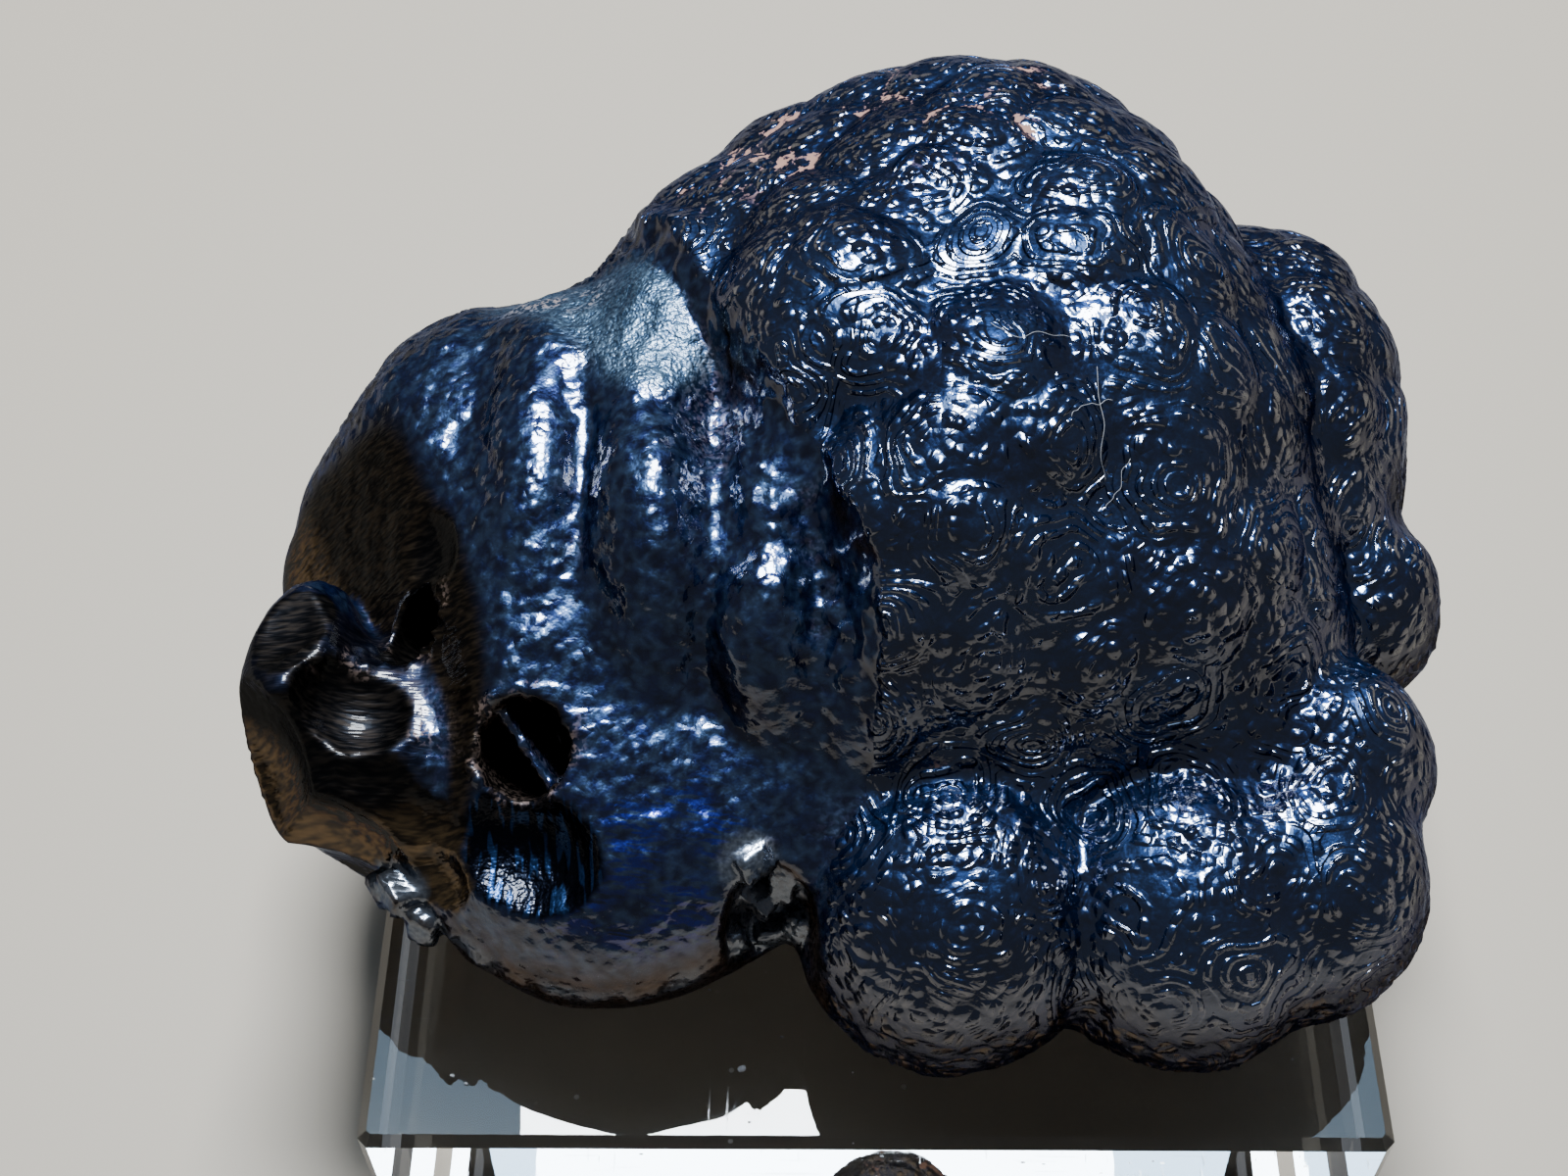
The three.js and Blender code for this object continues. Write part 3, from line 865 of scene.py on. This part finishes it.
mat, nt, bsdf = material("goethite_inner")
m = Maker(nt)
place = m.scaled(m.put("ShaderNodeTexCoord").outputs["Object"], 1000.0)
bare_a, band_a, bowl_a, net_and_bead_glint_a = (m.attr(k)[2] for k in ("bare", "band", "bowl", "edge"))
low_a, dust_a, ripple_a = (m.attr(k)[2] for k in ("low", "dust", "ripple"))
grit = m.noise(place, 2.0, 1.0, 0.6)
broad = m.noise(place, 0.50, 1.0, 0.6)
fibre = m.noise(m.scaled(place, (0.45, 2.4, 0.9)), 1.0, 1.0, 0.6)
streak = m.noise(m.scaled(place, (1.7, 0.28, 0.40)), 1.0, 0.0, 0.6)
rim_glint_and_crystal_pale_a, shelf_a = (m.attr(k)[2] for k in ("rim_glint_and_crystal_pale", "shelf"))
comb = m.ramp(m.cells(m.vadd(place, m.scaled(m.put("ShaderNodeTexCoord").outputs["Normal"], 0.3)), 0.62), 0.60, 0.05)
inner_h = m.add(m.mul(comb, 0.10), m.add(m.mul(broad, 0.08), m.mul(grit, 0.04)))
height = m.mix(shelf_a, inner_h, m.mul(broad, 0.16))
height = m.mix(band_a, height, m.add(m.mul(broad, 0.30), m.mul(grit, 0.20)))
height = m.mix(bowl_a, height, m.add(m.mul(streak, 0.16), m.mul(grit, 0.12)))
height = m.mix(bare_a, height, m.mul(fibre, 0.09))
colour = m.tint(m.ramp(broad, 0.36, 0.66), (0.0018, 0.0046, 0.024), (0.0060, 0.0130, 0.050))
# painted highlight: the honeycomb lines and bead tops are coloured light blue
colour = m.tint(m.mul(net_and_bead_glint_a, 0.30), colour, (0.07, 0.13, 0.24))
colour = m.tint(m.mul(ripple_a, m.ramp(fibre, 0.44, 0.56)), colour, (0.004, 0.010, 0.130))
# painted reflection: faces turned down are tinted brown, standing in for a brown floor reflected in the inner layer
colour = m.tint(m.mul(low_a, 0.85), colour, m.tint(broad, (0.012, 0.010, 0.016), (0.115, 0.070, 0.030)))
colour = m.tint(band_a, colour, m.tint(m.ramp(grit, 0.35, 0.65), (0.022, 0.042, 0.075), (0.065, 0.105, 0.155)))
# painted shade: the bowl's colour goes near black in the hollow, with lighter blue streaks as painted highlights
colour = m.tint(bowl_a, colour, m.tint(m.ramp(streak, 0.54, 0.66), (0.0010, 0.0015, 0.004), (0.009, 0.026, 0.075)))
gold_a = m.attr("gold")[2]
dark_c = m.tint(m.ramp(fibre, 0.35, 0.8), (0.0020, 0.0019, 0.0021), (0.012, 0.0088, 0.0062))
gold_c = m.tint(m.ramp(fibre, 0.3, 0.75), (0.026, 0.017, 0.009), (0.125, 0.078, 0.034))
colour = m.tint(bare_a, colour, m.tint(gold_a, dark_c, gold_c))
# painted reflection on the bottom rim, and paler colour round the small crystals
colour = m.tint(m.mul(rim_glint_and_crystal_pale_a, 0.8), colour, m.tint(grit, (0.03, 0.045, 0.07), (0.24, 0.27, 0.32)))
dusted = m.math("MULTIPLY", dust_a, m.ramp(grit, 0.46, 0.60), clamp=True)
colour = m.tint(dusted, colour, (0.16, 0.105, 0.08))
m.feed(bsdf.inputs["Base Color"], colour)
m.feed(bsdf.inputs["Metallic"], m.mul(m.sub(1.0, dusted), 0.90))
rough = m.mix(band_a, m.ramp(grit, 0.3, 0.7, 0.24, 0.38), 0.44)
rough = m.mix(bare_a, rough, m.mix(gold_a, m.ramp(fibre, 0.3, 0.7, 0.34, 0.52), m.ramp(fibre, 0.3, 0.7, 0.09, 0.22)))
m.feed(bsdf.inputs["Roughness"], m.mix(dusted, rough, 0.85))
gloss = m.mix(bare_a, m.mul(m.mix(band_a, 0.9, 0.2), m.sub(1.0, m.mul(low_a, 0.6))), m.mix(gold_a, 0.10, 0.30))
turned = m.ramp(m.put("ShaderNodeLayerWeight").outputs["Facing"], 0.22, 0.78, 1.0, 0.10)
gloss = m.mul(m.mul(gloss, turned), m.sub(1.0, m.mul(bowl_a, 0.90)))
m.feed(bsdf.inputs["Coat Weight"], m.mul(gloss, m.sub(1.0, dusted)))
bsdf.inputs["Coat Roughness"].default_value = 0.09
bsdf.inputs["Coat IOR"].default_value = 1.75
bsdf.inputs["IOR"].default_value = 1.9
bsdf.inputs["Specular Tint"].default_value = (0.16, 0.20, 0.30, 1)
relief = m.bump(height)
m.feed(bsdf.inputs["Normal"], relief)
m.feed(bsdf.inputs["Coat Normal"], relief)
mesh.materials.append(mat)

fluff, ntf, bf = material("pale_dust")
d = Maker(ntf)
tone = d.noise(d.scaled(d.put("ShaderNodeTexCoord").outputs["Object"], 1000.0), 1.4, 3.0, 0.6)
d.feed(bf.inputs["Base Color"], d.tint(tone, (0.10, 0.10, 0.11), (0.40, 0.40, 0.42)))
d.feed(bf.inputs["Roughness"], d.ramp(tone, 0.3, 0.7, 0.6, 0.9))
lint_mesh.materials.append(fluff)
speck_mesh.materials.append(fluff)

acrylic, nt2, b2 = material("clear_acrylic")
a = Maker(nt2)
spot = a.scaled(a.put("ShaderNodeTexCoord").outputs["Object"], 1000.0)
smear = a.noise(a.scaled(spot, (0.05, 0.22, 0.2)), 1.0, 4.0, 0.6)
hair1 = a.noise(a.scaled(spot, (0.06, 2.6, 0.0)), 1.0, 1.0)
hair2 = a.noise(a.scaled(spot, (2.2, 0.07, 0.0)), 1.0, 1.0)
facing = a.put("ShaderNodeSeparateXYZ")
a.feed(facing.inputs[0], a.put("ShaderNodeTexCoord").outputs["Normal"])
upward = a.ramp(a.math("ABSOLUTE", facing.outputs[2]), 0.7, 0.95)
scratch = a.mul(upward, a.math("MAXIMUM", a.ramp(hair1, 0.74, 0.76), a.ramp(hair2, 0.745, 0.765)))
fleck = a.ramp(a.cells(spot, 0.16), 0.055, 0.035)
a.feed(b2.inputs["Base Color"], a.tint(fleck, (0.985, 0.992, 0.99), (0.8, 0.8, 0.8)))
a.feed(b2.inputs["Roughness"], a.add(a.ramp(smear, 0.45, 0.75, 0.0, 0.02), a.add(a.mul(scratch, 0.12), a.mul(fleck, 0.5))))
a.feed(b2.inputs["Normal"], a.bump(a.add(a.mul(scratch, -0.004), a.mul(a.noise(spot, 0.06, 1.0), 0.02)), 0.001, 0.6))
b2.inputs["Transmission Weight"].default_value = 1.0
b2.inputs["IOR"].default_value = 1.49
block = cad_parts["acrylic_block"]
block.data.materials.clear()
block.data.materials.append(acrylic)

# ------------------------------------------------------------------ floor, light, camera
floor_mesh = bpy.data.meshes.new("floor")
floor_mesh.from_pydata([(-3, -3, -0.0004), (3, -3, -0.0004), (3, 3, -0.0004), (-3, 3, -0.0004)], [], [(0, 1, 2, 3)])
floor = bpy.data.objects.new("floor", floor_mesh)
bpy.context.scene.collection.objects.link(floor)
fm, fnt, fb = material("pale_floor")
fb.inputs["Base Color"].default_value = (0.225, 0.190, 0.150, 1)
fb.inputs["Roughness"].default_value = 0.6
floor_mesh.materials.append(fm)

world = bpy.data.worlds.new("studio")
bpy.context.scene.world = world
world.use_nodes = True
world.node_tree.nodes["Background"].inputs[0].default_value = (0.72, 0.77, 0.85, 1)
world.node_tree.nodes["Background"].inputs[1].default_value = 0.15


def area(name, at, look, size, power, colour=(1, 1, 1), size_y=None):
    d = bpy.data.lights.new(name, "AREA")
    d.energy = power
    d.color = colour
    d.shape = "RECTANGLE"
    d.size = size
    d.size_y = size_y or size
    o = bpy.data.objects.new(name, d)
    o.location = at
    o.rotation_euler = (Vector(look) - Vector(at)).to_track_quat("-Z", "Y").to_euler()
    bpy.context.scene.collection.objects.link(o)
    return o


area("key", (0.0, 0.34, 0.90), (0, 0, 0.05), 0.31, 42, (0.88, 0.95, 1.0))
area("soft_top", (0.0, 0.30, 1.1), (0, 0, 0.05), 0.75, 6, (0.50, 0.74, 1.0), 0.52)

C = np.array([-5.46, -88.20, 204.30])
el, yaw, roll = np.radians([52.75, -1.41, -1.11])
fwd = np.array([math.sin(yaw) * math.cos(el), math.cos(yaw) * math.cos(el), -math.sin(el)])
right = np.array([math.cos(yaw), -math.sin(yaw), 0])
up = np.cross(right, fwd)
r = right * math.cos(roll) + up * math.sin(roll)
u = -right * math.sin(roll) + up * math.cos(roll)
cam_data = bpy.data.cameras.new("camera")
cam_data.sensor_width = 36
cam_data.lens = 2300 / 1600 * 36
cam_data.clip_start = 0.01
cam = bpy.data.objects.new("camera", cam_data)
place = (C + SHIFT) / 1000
cam.matrix_world = Matrix(
    [
        [r[0], u[0], -fwd[0], place[0]],
        [r[1], u[1], -fwd[1], place[1]],
        [r[2], u[2], -fwd[2], place[2]],
        [0, 0, 0, 1],
    ]
)
bpy.context.scene.collection.objects.link(cam)
bpy.context.scene.camera = cam
